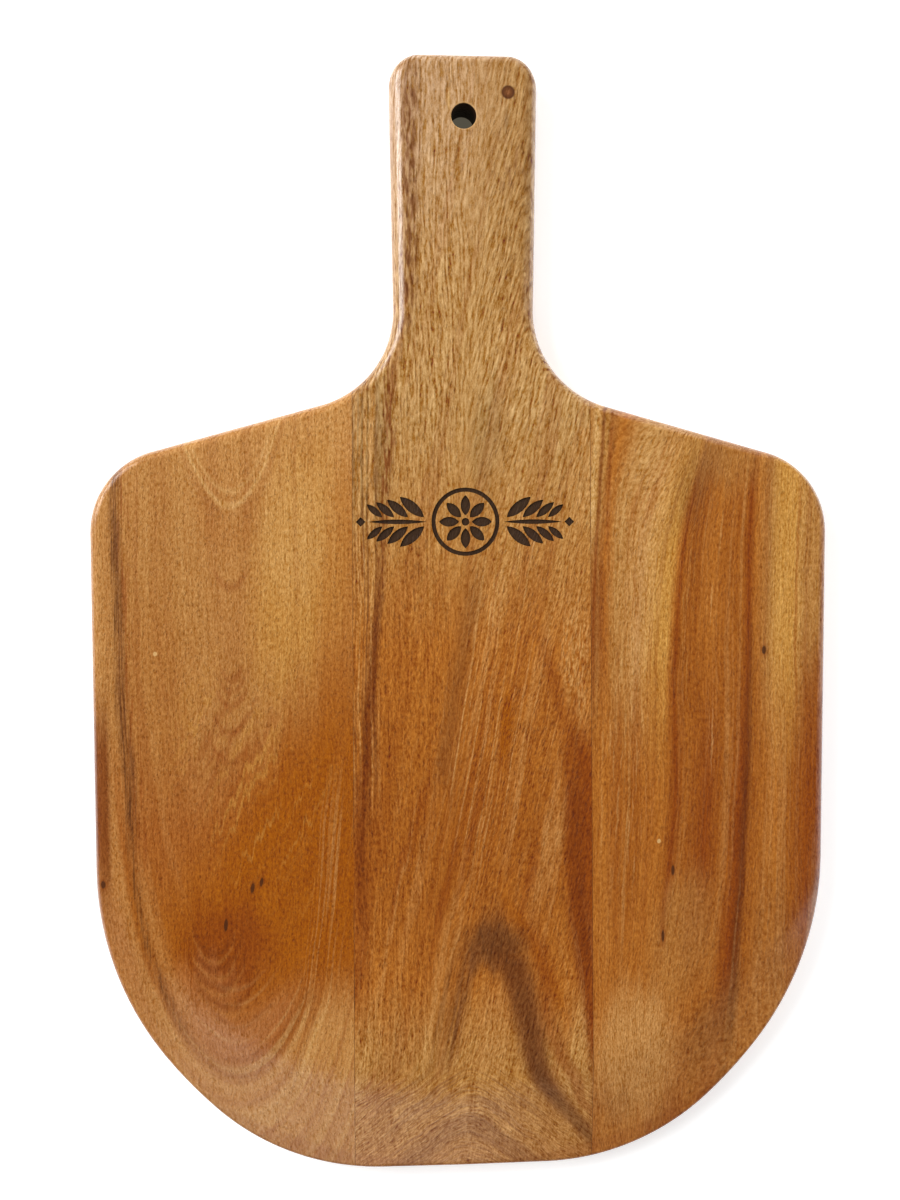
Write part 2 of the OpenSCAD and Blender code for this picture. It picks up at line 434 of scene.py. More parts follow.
def shape_taper(blank, s, line):
    """Cuts a grid into the toe's top face, and lowers it towards the rim."""
    flat = THICKNESS - NEAR
    reach = line.taper_c.y - math.sqrt(s.taper_r**2 - (WIDTH / 2) ** 2) + 2 * s.taper_blend
    edit(blank, "FACE")

    def on_top(face, top):
        return all(v.co.z > flat for v in face.verts) and face.calc_center_median().y < top

    pick(blank, "faces", lambda f: on_top(f, END_Y))
    bpy.ops.mesh.bisect(plane_co=(0, reach, 0), plane_no=(0, 1, 0))
    rows = int((reach - TOE_Y) / s.taper_grid)
    for i in range(1, rows):
        pick(blank, "faces", lambda f: on_top(f, reach))
        bpy.ops.mesh.bisect(plane_co=(0, reach - i * s.taper_grid, 0), plane_no=(0, 1, 0))
    columns = int(WIDTH / 2 / s.taper_grid)
    for i in range(-columns, columns + 1):
        pick(blank, "faces", lambda f: on_top(f, reach))
        bpy.ops.mesh.bisect(plane_co=((i + 0.5) * s.taper_grid, 0, 0), plane_no=(1, 0, 0))
    mesh = bmesh.from_edit_mesh(blank.data)
    for v in mesh.verts:
        if v.co.z > THICKNESS / 2 and v.co.y < reach:
            v.co.z -= fall_at(s, line, v.co)
    bmesh.update_edit_mesh(blank.data)
    done()


def fall_at(s, line, place):
    """How far the tapered band lies under the flat top at a place."""
    beyond = (Vector((place.x, place.y, 0)) - line.taper_c).length - s.taper_r
    if place.y > line.taper_c.y or beyond < -s.taper_blend:
        return 0.0
    eased = (beyond + s.taper_blend) ** 2 / (4 * s.taper_blend) if beyond < s.taper_blend else beyond
    return eased * math.tan(s.taper_fall)


def cut_at_seam(obj, line, seam, offset, keep_right):
    """Cuts the solid along a seam and keeps the part on one side of it."""
    at_shoulder, at_toe = line.seams[seam]
    foot = Vector((at_toe + offset, TOE_Y, 0))
    head = Vector((at_shoulder + offset, line.slope_head.y, 0))
    along = (head - foot).normalized()
    across = Vector((along.y, -along.x, 0))
    edit(obj, "FACE")
    bpy.ops.mesh.select_all(action="SELECT")
    bpy.ops.mesh.bisect(
        plane_co=foot, plane_no=across, use_fill=True,
        clear_inner=keep_right, clear_outer=not keep_right,
    )
    done()


def drill_hole(obj, s):
    """Drills the hanging hole and breaks its two rims."""
    place = Vector((0, hole_y(s), THICKNESS / 2))
    deselect()
    bpy.ops.mesh.primitive_cylinder_add(
        vertices=s.round_sides, radius=s.hole_d / 2, depth=2 * THICKNESS, location=place
    )
    drill = bpy.context.object
    apply(obj, "BOOLEAN", object=drill, operation="DIFFERENCE", solver="EXACT")
    bpy.data.objects.remove(drill)
    edit(obj, "EDGE")

    def on_rim(e):
        ends = [v.co - place for v in e.verts]
        on_face = all(abs(abs(d.z) - THICKNESS / 2) < NEAR for d in ends)
        level = abs(ends[0].z - ends[1].z) < NEAR
        return on_face and level and all(d.xy.length < s.hole_d / 2 + NEAR for d in ends)

    if not pick(obj, "edges", on_rim):
        raise RuntimeError("the hole's rims weren't found")
    bpy.ops.mesh.bevel(offset=s.hole_chamfer, segments=2, profile=0.5, affect="EDGES")
    done()


class Cutter:
    """Flat figures on the board's top, drawn one after another and sunk as one cutting solid."""

    def __init__(self, o):
        self.middle = Vector((o.centre_x, o.centre_y, 0))
        self.depth = o.depth
        self.leaf_steps = o.leaf_steps
        self.parts = []

    def sink(self):
        """Extrudes the flat figure just drawn into a solid through the board's top."""
        bpy.ops.mesh.select_all(action="SELECT")
        bpy.ops.mesh.extrude_region_move(TRANSFORM_OT_translate={"value": (0, 0, 2 * self.depth)})
        bpy.ops.mesh.select_all(action="SELECT")
        bpy.ops.mesh.normals_make_consistent(inside=False)
        bpy.ops.transform.translate(value=(0, 0, THICKNESS - self.depth))
        done()
        self.parts.append(bpy.context.object)

    def leaf(self, tail, tip, width):
        """A pointed leaf between two points, from two arcs."""
        reach = (tip - tail).length
        radius = (reach**2 / 4 + width**2 / 4) / width
        half_turn = math.asin(reach / 2 / radius)
        along = (tip - tail) / reach
        across = Vector((-along.y, along.x, 0))
        middle = self.middle + (tail + tip) / 2
        off = (radius - width / 2) * across
        start_point(self.middle + tail)
        for centre in (middle - off, middle + off):
            bpy.ops.mesh.spin(
                steps=self.leaf_steps, angle=2 * half_turn, center=centre, axis=(0, 0, 1)
            )
        bpy.ops.mesh.select_all(action="SELECT")
        bpy.ops.mesh.remove_doubles(threshold=0.1 * NEAR)
        bpy.ops.mesh.edge_face_add()
        self.sink()

    def disc(self, place, radius, corners, line=0.0):
        """A filled disc or, with the width of a line, a ring."""
        deselect()
        bpy.ops.mesh.primitive_circle_add(
            vertices=corners, radius=radius, fill_type="NGON", location=self.middle + place
        )
        bpy.ops.object.transform_apply(location=True, rotation=True, scale=True)
        bpy.ops.object.mode_set(mode="EDIT")
        if line:
            bpy.ops.mesh.select_all(action="SELECT")
            bpy.ops.mesh.inset(thickness=line)
            bpy.ops.mesh.delete(type="FACE")
        self.sink()

    def joined(self):
        """All the figures as one cutting tool."""
        deselect()
        for part in self.parts:
            part.select_set(True)
        bpy.context.view_layer.objects.active = self.parts[0]
        bpy.ops.object.join()
        return bpy.context.object


def cut_ornament(obj, o):
    """Sinks a rosette in a ring, with a leafy stem on each side, into the top of the middle stave."""
    cutter = Cutter(o)
    sides = board_shape().round_sides
    cutter.disc(Vector((0, 0, 0)), o.ring_r, sides, o.ring_line)
    cutter.disc(Vector((0, 0, 0)), o.bud_r, sides // 3)
    for i in range(o.petals):
        out = ray(2 * math.pi * i / o.petals)
        cutter.leaf(o.petal_start * out, o.petal_end * out, o.petal_width)
    for side in (-1, 1):
        start, end = side * o.stem_start, side * o.stem_end
        cutter.leaf(Vector((start, 0, 0)), Vector((end, 0, 0)), o.stem_width)
        foot = o.stem_start + o.leaf_start
        size = 1.0
        for i in range(o.leaf_pairs):
            for up in (-1, 1):
                lean = Vector((side * math.cos(o.leaf_lean), up * math.sin(o.leaf_lean), 0))
                tail = Vector((side * foot, up * (o.leaf_gap + o.stem_width / 2), 0))
                cutter.leaf(tail, tail + size * o.leaf_length * lean, size * o.leaf_width)
            foot += size * o.leaf_step
            size *= o.leaf_shrink
        cutter.disc(Vector((side * o.tip_x, 0, 0)), o.tip_size, 4)
    tool = cutter.joined()
    apply(obj, "BOOLEAN", object=tool, operation="DIFFERENCE", solver="EXACT")
    bpy.data.objects.remove(tool)


def finish_mesh(obj, material):
    """Smooth shading with flat faces kept flat, and the piece's material."""
    activate(obj)
    bpy.ops.object.shade_smooth_by_angle(angle=math.radians(35))
    apply(obj, "WEIGHTED_NORMAL", mode="FACE_AREA", weight=50, keep_sharp=True)
    obj.data.materials.clear()
    obj.data.materials.append(material)


def stand_for(obj, node):
    """The piece rides on the board's only body and replaces its plain solid."""
    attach(obj, "root")
    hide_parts(node)


# Materials


class Wire:
    """An output of a node, with arithmetic that adds Math nodes."""

    def __init__(self, paint, socket):
        self.paint = paint
        self.socket = socket

    def math(self, operation, *others):
        return self.paint.math(operation, self, *others)

    def __add__(self, other):
        return self.math("ADD", other)

    def __sub__(self, other):
        return self.math("SUBTRACT", other)

    def __rsub__(self, other):
        return self.paint.math("SUBTRACT", other, self)

    def __mul__(self, other):
        return self.math("MULTIPLY", other)

    def __rmul__(self, other):
        return self.math("MULTIPLY", other)

    def __truediv__(self, other):
        return self.math("DIVIDE", other)

    def __neg__(self):
        return self.math("MULTIPLY", -1.0)

    def __abs__(self):
        return self.math("ABSOLUTE")

    def root(self):
        return self.math("SQRT")

    def most(self, other):
        """The larger of two values."""
        return self.math("MAXIMUM", other)


class Paint:
    """A material under construction, with coordinates in millimetres on the board."""

    def __init__(self, name):
        self.material = bpy.data.materials.new(name)
        self.material.use_nodes = True
        self.tree = self.material.node_tree
        self.shader = self.tree.nodes["Principled BSDF"]
        place = self.node("ShaderNodeTexCoord", output="Object")
        parts = self.node("ShaderNodeSeparateXYZ", values={0: place}, output="X")
        split = parts.socket.node
        self.x, self.y, self.z = (Wire(self, split.outputs[axis]) * 1000 for axis in "XYZ")

    def node(self, kind, settings=None, values=None, output=0):
        """Adds a node: its settings, then the values or links of its sockets."""
        made = self.tree.nodes.new(kind)
        for key, value in (settings or {}).items():
            if key == "stops":
                self.set_stops(made.color_ramp, value)
            elif key == "points":
                self.set_points(made.mapping, value)
            else:
                setattr(made, key, value)
        for key, value in (values or {}).items():
            if isinstance(value, Wire):
                self.tree.links.new(value.socket, made.inputs[key])
            else:
                made.inputs[key].default_value = value
        return Wire(self, made.outputs[output])

    def math(self, operation, *terms):
        """A Math node over wires and numbers."""
        return self.node("ShaderNodeMath", {"operation": operation}, dict(enumerate(terms)))

    def feed(self, socket, value):
        """Sets one of the shader's own sockets, or links a wire to it."""
        if isinstance(value, Wire):
            self.tree.links.new(value.socket, self.shader.inputs[socket])
        else:
            self.shader.inputs[socket].default_value = value

    def set_stops(self, ramp, stops):
        """Fills a colour ramp."""
        while len(ramp.elements) > 1:
            ramp.elements.remove(ramp.elements[-1])
        for i, (place, tone) in enumerate(stops):
            element = ramp.elements[0] if i == 0 else ramp.elements.new(place)
            element.position = place
            element.color = (*tone, 1.0)

    def set_points(self, mapping, points):
        """Fills a float curve."""
        curve = mapping.curves[0]
        curve.points[0].location = points[0]
        curve.points[-1].location = points[-1]
        for point in points[1:-1]:
            curve.points.new(*point)
        mapping.update()

    def ease(self, value, low, high, start=0.0, end=1.0):
        """Smooth step of a value, from one mark to another."""
        if low > high:
            low, high, start, end = high, low, end, start
        return self.node(
            "ShaderNodeMapRange", {"interpolation_type": "SMOOTHSTEP"},
            {"Value": value, "From Min": low, "From Max": high, "To Min": start, "To Max": end},
        )

    def bump_at(self, value, centre, half, soft):
        """One within half a width of a centre, falling softly to zero on both sides."""
        return self.ease(abs(value - centre), half + soft, max(half - soft, 0.0))

    def noise(self, across, along, height=None, detail=2.0, rough=0.5, seed=0.0):
        """Noise from coordinates already divided by the size of its features, about -0.5 to 0.5."""
        place = self.node("ShaderNodeCombineXYZ", values={0: across + seed, 1: along, 2: height or 0.0})
        values = {"Vector": place, "Scale": 1.0, "Detail": detail, "Roughness": rough}
        return self.node("ShaderNodeTexNoise", {"noise_dimensions": "3D"}, values) - 0.5

    def share(self, value, low, high):
        """How far a value has come from one mark to another, from zero to one."""
        return self.node("ShaderNodeMapRange", values={"Value": value, "From Min": low, "From Max": high})

    def curve(self, value, marks):
        """Smooth curve through marks of (value, result)."""
        low, high = marks[0][0], marks[-1][0]
        results = [r for _, r in marks]
        floor, top = min(results), max(results)
        points = [((v - low) / (high - low), (r - floor) / (top - floor)) for v, r in marks]
        share = self.share(value, low, high)
        bent = self.node("ShaderNodeFloatCurve", {"points": points}, {"Value": share})
        return bent * (top - floor) + floor

    def ramp(self, value, stops):
        """Colour ramp over a value, from stops of (value, tone)."""
        low, high = stops[0][0], stops[-1][0]
        shares = [((v - low) / (high - low), tone) for v, tone in stops]
        return self.node("ShaderNodeValToRGB", {"stops": shares}, {0: self.share(value, low, high)})

    def blend(self, under, over, share):
        """Mixes a colour over another."""
        values = {0: share}
        for key, tone in ((6, under), (7, over)):
            values[key] = tone if isinstance(tone, Wire) else (*tone, 1.0)
        return self.node("ShaderNodeMix", {"data_type": "RGBA", "clamp_factor": True}, values, output=2)


class Grain(Paint):
    """Wood of one stave, with places and sizes in millimetres: x across the board, y along it.

    gx wanders across the grain and gy frays along it, so what is laid by them looks grown. depth is
    zero on the flat top and negative under it. tone and height keep the colour and the relief so far,
    and dull keeps where the finish has no gloss.
    """

    def __init__(self, name, seed):
        super().__init__(name)
        self.tones = bpy.context.scene.wood_tones
        self.seed = seed
        self.dull = 0.0
        self.depth = self.z - THICKNESS / MM
        wide = self.fibres(38, 95, seed + 3.1, 2.0) * 6
        narrow = self.fibres(7, 38, seed + 7.7, 2.0) * 1.2
        self.gx = self.x + wide + narrow + self.depth * 0.55
        fibre = self.threads(self.x, self.y, 1.1, 55, 11.3, detail=3.0) * 12
        tuft = self.threads(self.x, self.y, 4.5, 45, 17.9) * 24
        self.gy = self.y + fibre + tuft

    def fibres(self, wide, long, seed, detail=1.0, across=None):
        """Noise stretched along the board, about -0.5 to 0.5."""
        across = self.x if across is None else across
        return self.noise(across / wide, self.y / long, detail=detail, seed=seed)

    def threads(self, across, along, wide, long, seed, detail=1.0, rough=0.5):
        """Noise that runs through the thickness as well, stretched along the grain."""
        height = self.depth / wide
        return self.noise(across / wide, along / long, height, detail, rough, self.seed + seed)

    def lay(self, tone, mask, amount=1.0):
        """Lays a tone over what is there, by a mask."""
        self.tone = self.blend(self.tone, getattr(self.tones, tone), mask * amount)

    def spots(self, *rows):
        """Lays soft ovals, one after another, from rows of (tone, amount, centre, radii, turn, ...)."""
        for tone, amount, *place in rows:
            self.lay(tone, self.patch(*place), amount)

    def lines(self, mask, field, start, full, high, low):
        """Lays one (tone, amount) where a field is high and another where it is low."""
        self.lay(high[0], mask * self.ease(field, start, full), high[1])
        self.lay(low[0], mask * self.ease(field, -start, -full), low[1])

    def bands(self, value, marks):
        """Tones that follow one another, from marks of (value, tone)."""
        return self.ramp(value, [(v, getattr(self.tones, tone)) for v, tone in marks])

    def window(self, low, high, soft=14.0):
        """One between two heights on the board, with fibrous ends."""
        return self.ease(self.gy, low - soft, low + soft) * self.ease(self.gy, high + soft, high - soft)

    def streak(self, marks, half, soft, window=None):
        """A streak that follows a path of (y, x) marks."""
        mask = self.bump_at(self.gx - self.curve(self.y, marks), 0.0, half, soft)
        return mask * window if window else mask

    def oval(self, dx, dy, radii, turn):
        """Distance from an oval's middle: one on its rim."""
        c = math.cos(math.radians(turn))
        s = math.sin(math.radians(turn))
        u = (dx * c + dy * s) / radii[0]
        v = (dy * c - dx * s) / radii[1]
        return (u * u + v * v).root()

    def patch(self, centre, radii, turn=0.0, soft=0.45, frayed=1.0):
        """A soft oval with fibrous edges."""
        dy = self.y + (self.gy - self.y) * frayed - centre[1]
        reach = self.oval(self.gx - centre[0], dy, radii, turn)
        return self.ease(reach, 1.0 + soft, 1.0 - soft)

    def knot(self, centre, radii, turn=0.0):
        """A pin knot: a dark slit with a softer ring."""
        reach = self.oval(self.x - centre[0], self.y - centre[1], radii, turn)
        self.lay("russet", self.ease(reach, 2.6, 1.0), 0.45)
        self.lay("umber", self.ease(reach, 1.25, 0.75), 0.9)

    def speck(self, centre, radii, amount=1.0):
        """A small pale speck."""
        self.lay("straw", self.patch(centre, radii, 0, 0.3, 0.0), amount)

    def grow(self, field, spacing, amount, seed=0.0):
        """Light and dark growth lines over a field, in millimetres across the grain."""
        drift = self.y / 300
        wide = self.x / 55
        seed = self.seed + seed
        coarse = self.noise(field / spacing, drift, wide, detail=1, seed=seed)
        fine = self.noise(field / (spacing * 0.31), drift * 2, wide, detail=2, seed=seed + 5.3)
        line = coarse * 1.5 + fine * 1.2
        self.lay("russet", self.ease(line, 0.0, 0.4), amount * 0.6)
        self.lay("straw", self.ease(line, 0.0, -0.4), amount * 0.3)

    def shade(self, swing):
        """Lightens or darkens; as in oiled wood, blue changes most and red least."""
        swings_and_levels = ((0.72, 1.04), (1.05, 1.01), (1.7, 0.92))
        shares = {i: (swing * k + level).most(0.12) for i, (k, level) in enumerate(swings_and_levels)}
        factor = self.node("ShaderNodeCombineXYZ", values=shares)
        values = {0: self.tone, 1: factor}
        self.tone = self.node("ShaderNodeVectorMath", {"operation": "MULTIPLY"}, values)

    def weave(self, across, along, reach, ropes, grit):
        """Ropes of fibres, long threads, grit and open pores, for one direction of the grain."""
        bend = self.threads(across, along, 4.5, 22, 61.0) * 17
        gate = self.threads(across, along, 1.8, 8, 67.0) * 1.1 + 0.28
        wave = (across * 2.35 + self.depth * 2.1 + bend).math("SINE") * gate
        rope = self.threads(across, along, 1.05, reach, 23.0, rough=0.4) * 0.8 + wave * 0.42
        thread = self.threads(across, along, 0.7, reach * 4, 1.9) * 0.9
        fleck = self.threads(across, along, 0.75, 1.9, 31.4, rough=0.6) * grit
        place = {0: across / 0.95, 1: along / (reach * 0.7), 2: self.depth / 0.95}
        cells = self.node(
            "ShaderNodeTexVoronoi", {"feature": "F1", "voronoi_dimensions": "3D"},
            {"Vector": self.node("ShaderNodeCombineXYZ", values=place), "Scale": 1.0, "Randomness": 1.0},
            output="Distance",
        )
        pore = self.ease(cells - rope * 0.45, 0.34, 0.14)
        return rope * ropes + thread + fleck, pore

    def texture(self, across, contrast, reach, ropes, grit, pores, broad, leans=()):
        """Fibres, flecks and open pores, and the bump that goes with them.

        Each lean is a second direction: (across, along, share of it that shows).
        """
        relief, pore = self.weave(across, self.y, reach, ropes, grit)
        for turned, along, share in leans:
            other, more = self.weave(turned + 500.0, along, reach, ropes, grit)
            relief = relief + (other - relief) * share
            pore = pore + (more - pore) * share
        relief = relief + self.threads(across, self.y, 3.6, reach * 4, 51.0) * broad
        dust = self.threads(self.x, self.y, 0.45, 0.7, 41.0, detail=2.0)
        self.shade(relief * -contrast + dust * 0.7)
        self.lay("pore", pore, 0.45 * pores)
        self.height = pore * -0.8 - relief

    def finish(self):
        """Satin oil finish over the wood, with more shine on the rims than on the flat face."""
        bump = {"Strength": 0.55, "Distance": 0.00025, "Height": self.height}
        rim = self.ease(self.depth, -0.05, -0.9)
        gloss = (self.height * 0.4 + rim * (1.0 - self.taper * 0.7) + 0.25) * (1.0 - self.dull)
        self.feed("Base Color", self.tone)
        self.feed("Roughness", self.height * -0.06 + 0.5)
        self.feed("Coat Weight", gloss.most(0.0))
        self.feed("Coat Roughness", 0.2)
        self.feed("Specular IOR Level", 0.14)
        self.feed("Normal", self.node("ShaderNodeBump", values=bump))
        return self.material


def taper_tint_and_sheen(g):
    """Paler, pinker tapered band, partly its own tone and partly painted sheen, with a darker line near the
    toe's rim; its mask is kept for the finish.
    """
    s = board_shape()
    start = s.taper_r / MM
    rim = start + s.taper_width / MM
    along = g.y - (TOE_Y / MM + rim)
    radial = (g.x * g.x + along * along).root()
    low = g.ease(g.y, -110.0, -150.0)
    g.taper = g.ease(radial, start - 17, start - 7) * low
    band = g.ease(radial, start - 9, start + 21) * low
    # Painted sheen in part: rose and honey make the tilted band paler and pinker
    g.lay("rose", band, 0.25)
    g.lay("honey", band, 0.15)
    g.lay("russet", g.ease(radial, rim - 3.5, rim - 0.5) * low, 0.25)


# The left stave


def left_wood():
    """Flat-sawn stave: rings that open upwards, a dark rim streak and a flame-coloured heart."""
    g = Grain("wood_left", 2.0)
    drop = 60 - g.y
    opening = drop * 0.05 + drop * drop * 0.00053 + 4
    ring = ((g.gx + 96) * (g.gx + 96) + opening * opening).root()
    left_ground(g, ring)
    left_heart(g)
    left_swirl(g)
    left_toe_rings(g, ring)
    left_rim(g, ring)
    left_arches(g)
    left_fine_lines(g, ring)
    taper_tint_and_sheen(g)
    calm = g.ease(g.y, -140, -180, 0.57, 0.34)
    g.texture(g.gx, calm, reach=2.7, ropes=0.9, grit=2.4, pores=0.4, broad=0.35)
    g.speck((-125.7, -10.8), (0.7, 0.9))
    g.knot((-88.2, -108.1), (0.8, 2.2), -10)
    g.knot((-84.5, -105.7), (0.7, 1.9), -10)
    g.knot((-99.3, -123.4), (0.8, 2.6), -5)
    g.knot((-149, -105.6), (1.0, 1.6))
    return g.finish()


def left_ground(g, ring):
    """Ground tones, with gold beside the seam, and the growth lines."""
    g.tone = g.bands(g.gy, [
        (-240, "tan"), (-175, "amber"), (-120, "copper"), (-85, "copper"),
        (-40, "tan"), (30, "tan"), (80, "sand"), (105, "sand"),
    ])
    g.lay("rose", g.window(-100, 60, 30), 0.3)
    g.spots(
        ("honey", 0.6, (-68, 22), (19, 48), -6),
        ("straw", 0.25, (-70, 38), (15, 26), -6),
        ("amber", 0.45, (-52, 10), (8, 60), -4),
        ("tan", 0.35, (-124, 15), (16, 60)),
        ("copper", 0.28, (-126, -32), (13, 44)),
    )
    g.grow(ring, 6.0, 0.4)


def left_heart(g):
    """Flame-coloured heart that reaches up the seam, with slanted lines beside it."""
    slope = g.gx + 69 - (g.gy + 33) * 0.56
    heart = g.ease(slope, -20, 17) * g.ease(g.gy, 30, -66) * g.ease(g.gy, -185, -128)
    g.lay("flame", heart, 0.95)
    run = g.fibres(3.2, 90, 101, across=slope)
    g.lines(g.patch((-88, -62), (26, 52), 24, 0.6), run, 0.03, 0.2, ("honey", 0.4), ("russet", 0.35))
    g.spots(
        ("russet", 0.8, (-98, -134), (18, 21), 12),
        ("rose", 0.45, (-109, -152), (15, 14), 14),
        ("sand", 0.28, (-97, 18), (12, 24)),
        ("flame", 0.4, (-66, -150), (18, 30)),
    )


def left_swirl(g):
    """Nested cups of dark and pale grain under the pin knots."""
    curl = g.fibres(13, 17, 111, 2.0) * 8
    for x, y, spread, width in (
        (-104.5, -136, 6, 0.9), (-104, -142, 9, 1.0), (-103, -149, 12, 1.1),
        (-99, -158, 14, 1.2), (-94, -167, 16, 1.0),
    ):
        dx = g.gx - x + curl
        cup = dx * dx / spread - g.y + y + curl * 0.6
        dark = g.bump_at(cup, 0.0, width, 1.9) * g.patch((x, y + 6), (14, 10), 0, 0.7, 0.8)
        pale = g.bump_at(cup, 3.4, 0.4, 1.6) * g.patch((x, y + 3), (11, 8), 0, 0.7, 0.8)
        g.lay("chestnut", dark, 0.6)
        g.lay("tan", pale, 0.25)


def left_toe_rings(g, ring):
    """Broad rings over the toe, pink, grey-brown and pale from the inside out."""
    inside = g.ease(g.y, -140, -168)
    g.lay("rose", g.bump_at(ring, 44.5, 3.0, 3.0) * inside, 0.8)
    g.lay("plum", g.bump_at(ring, 48.8, 0.7, 1.4) * inside, 0.35)
    g.lay("straw", g.bump_at(ring, 51.0, 0.6, 1.2) * inside, 0.4)
    g.lay("sand", g.ease(ring, 51.0, 54.0) * g.ease(g.y, -138, -172), 0.85)


def left_rim(g, ring):
    """Dark broken streak along the rim, with pale wood outside it and a red-brown edge."""
    side = g.ease(g.x, -108, -119)
    g.lay("sand", g.ease(ring, 49.5, 52.0) * side, 0.5)
    g.lay("rose", g.ease(ring, 51.0, 56.0) * side * g.ease(g.y, -90, -130), 0.5)
    g.lay("chestnut", g.ease(g.x, -144.2, -147.2) * g.window(-108, -34, 22), 0.86)
    shift = [(-130, 0), (-93, 1.0), (-50, 2.6), (-6, 2.4), (36, 1.5), (70, 1.2)]
    inner = ring + g.curve(g.y, shift)
    fringe = g.bump_at(inner, 44.6, 2.4, 1.8) * side * g.ease(g.y, -120, -80)
    g.lay("russet", fringe * g.ease(g.fibres(0.9, 26, 63), -0.06, 0.14), 0.6)
    split = g.ease(g.fibres(0.6, 22, 64, across=g.gx), -0.12, 0.14, 0.3, 1.0)
    g.lay("plum", g.bump_at(inner, 47.2, 2.1, 1.2) * side * g.ease(g.y, -110, -60) * split, 0.85)
    dark = g.bump_at(inner, 48.2, 1.4, 1.2) * side * g.ease(g.y, -192, -150) * split
    broken = g.ease(g.fibres(1.2, 8, 61, 2.0), -0.12, 0.12, 0.4, 1.0)
    g.lay("umber", dark * (broken * g.ease(g.y, -120, -40, 1.0, 0.7)), 0.75)
    pale = g.bump_at(ring, 45.2, 1.2, 1.8) * side * g.ease(g.y, -80, -120)
    g.lay("sand", pale, 0.35)


def left_arches(g):
    """Small arches down the middle of the stave and wide ones under the shoulder."""
    bow = (g.gx + 96) * (g.gx + 96)
    for low, spread, reach in (
        (16, 7, 7), (-22.5, 4.2, 6), (-27, 5.2, 7), (-33, 6.5, 9), (-44, 8, 10), (-56, 9, 11),
    ):
        cup = bow / spread - g.y + low
        g.lay("russet", g.bump_at(cup, 0.0, 1.0, 2.4) * g.patch((-96, low + 3), (reach, 8)), 0.4)
    cup = bow / 12.5 - g.y + 49
    above = g.ease(g.y, 42, 52)
    g.lay("straw", g.bump_at(cup, 0.0, 0.8, 1.8) * above, 0.5)
    g.lay("straw", g.bump_at(cup, -6.0, 0.4, 1.8) * above, 0.3)
    g.lay("russet", g.bump_at(cup, 6.5, 2.0, 4.0) * above, 0.2)
    g.lay("copper", g.bump_at(cup, 13.0, 5, 8) * g.patch((-98, 34), (20, 26)), 0.22)


def left_fine_lines(g, ring):
    """Fine lines that run down beside the seam and round the toe."""
    path = g.curve(g.y, [
        (-235, -100), (-215, -88), (-200, -80), (-190, -75), (-157, -64),
        (-124, -60), (-97, -57.5), (-75, -55.5), (-32, -48),
    ])
    beside = g.gx - path
    near = g.bump_at(beside, 2.0, 7.0, 7.0) * g.ease(g.y, -45, -90)
    run = g.fibres(1.5, 130, 88, across=beside)
    g.lines(near, run, 0.0, 0.16, ("straw", 0.24), ("russet", 0.3))
    round_toe = g.noise(ring / 1.3, g.y / 150, g.x / 60, detail=1, seed=91)
    g.lines(g.ease(g.y, -135, -175), round_toe, 0.02, 0.18, ("straw", 0.34), ("russet", 0.34))


# The middle stave


def centre_wood():
    """Stave with the handle: ropy grain that leans on the right, and a dark arch over the toe."""
    g = Grain("wood_centre", 9.0)
    slanted = g.fibres(1.0, 130, 131, across=g.gx - g.y * 0.17)
    centre_ground(g)
    centre_left_side(g, slanted)
    handle_mottle(g)
    centre_streaks(g, slanted)
    centre_right_band(g)
    arch_wood(g)
    taper_tint_and_sheen(g)
    centre_texture(g)
    handle_marks(g)
    burn(g)
    return g.finish()


def centre_ground(g):
    """Ground tones, paler up the handle, with a pale pinkish patch near its end that is partly painted
    sheen, and the growth lines.
    """
    g.tone = g.bands(g.gy, [
        (-240, "rose"), (-215, "tan"), (-182, "tan"), (-150, "amber"), (-112, "copper"),
        (-80, "copper"), (-10, "amber"), (40, "tan"), (85, "handle"), (240, "handle"),
    ])
    g.lay("tan", g.ease(g.gx, 5, 26) * g.ease(g.gy, 95, 140), 0.55)
    # Painted sheen in part: a pale pinkish patch near the handle's end, strongest on its left side
    g.lay("bloom_and_sheen", g.ease(g.gy, 120, 228) * g.ease(g.gx, 40, -30), 0.42)
    g.lay("olive", g.ease(g.gx, 2, 24) * g.ease(g.gy, 110, 150), 0.3)
    g.grow(g.gx - g.gy * 0.2, 7.0, 0.5)


def centre_left_side(g, slanted):
    """Striped grey-brown strip by the left seam, with a ragged dark streak beside it."""
    leaning = g.patch((16, -25), (22, 80), -10, 0.5)
    g.lines(leaning, slanted, 0.02, 0.22, ("straw", 0.3), ("russet", 0.45))
    g.spots(("olive", 0.3, (9.5, 78), (6, 22), -8), ("olive", 0.5, (-39, 72), (8, 34)))
    strip = g.bump_at(g.gx, -41, 5.0, 2.0) * g.window(-72, 100, 24)
    g.lines(strip, g.fibres(1.7, 160, 77, across=g.gx), 0.0, 0.12, ("plum", 0.7), ("sand", 0.7))
    low = g.ease(g.gy, -35, -85) * g.ease(g.gy, -190, -130)
    g.lay("russet", g.ease(g.gx, -38, -44) * low, 0.42)
    path = g.curve(g.y, [
        (-232, -44), (-156, -44), (-85, -42.6), (-43, -39.6), (15, -34.8),
        (60, -32.4), (84, -31), (108, -31), (135, -29),
    ])
    ragged = g.fibres(1.0, 4, 71) * 4.5
    dark = g.bump_at(g.gx - path + ragged, 0.0, 1.7, 1.9)
    broken = g.ease(g.fibres(0.9, 9, 73), -0.12, 0.1).most(g.ease(g.y, 40, 0))
    g.lay("chestnut", dark * broken * g.ease(g.y, 125, 95) * g.ease(g.y, -150, -85), 0.85)
    g.lay("umber", dark * g.ease(g.y, 60, 30) * g.ease(g.y, -60, 0), 0.2)
    dash = g.fibres(1.1, 8, 72)
    dashes = g.patch((-41, 58), (5.5, 46), 0, 0.3)
    g.lay("umber", dashes * g.ease(dash, 0.08, 0.22), 0.35)
    g.lay("straw", dashes * g.ease(dash, -0.04, -0.2), 0.4)


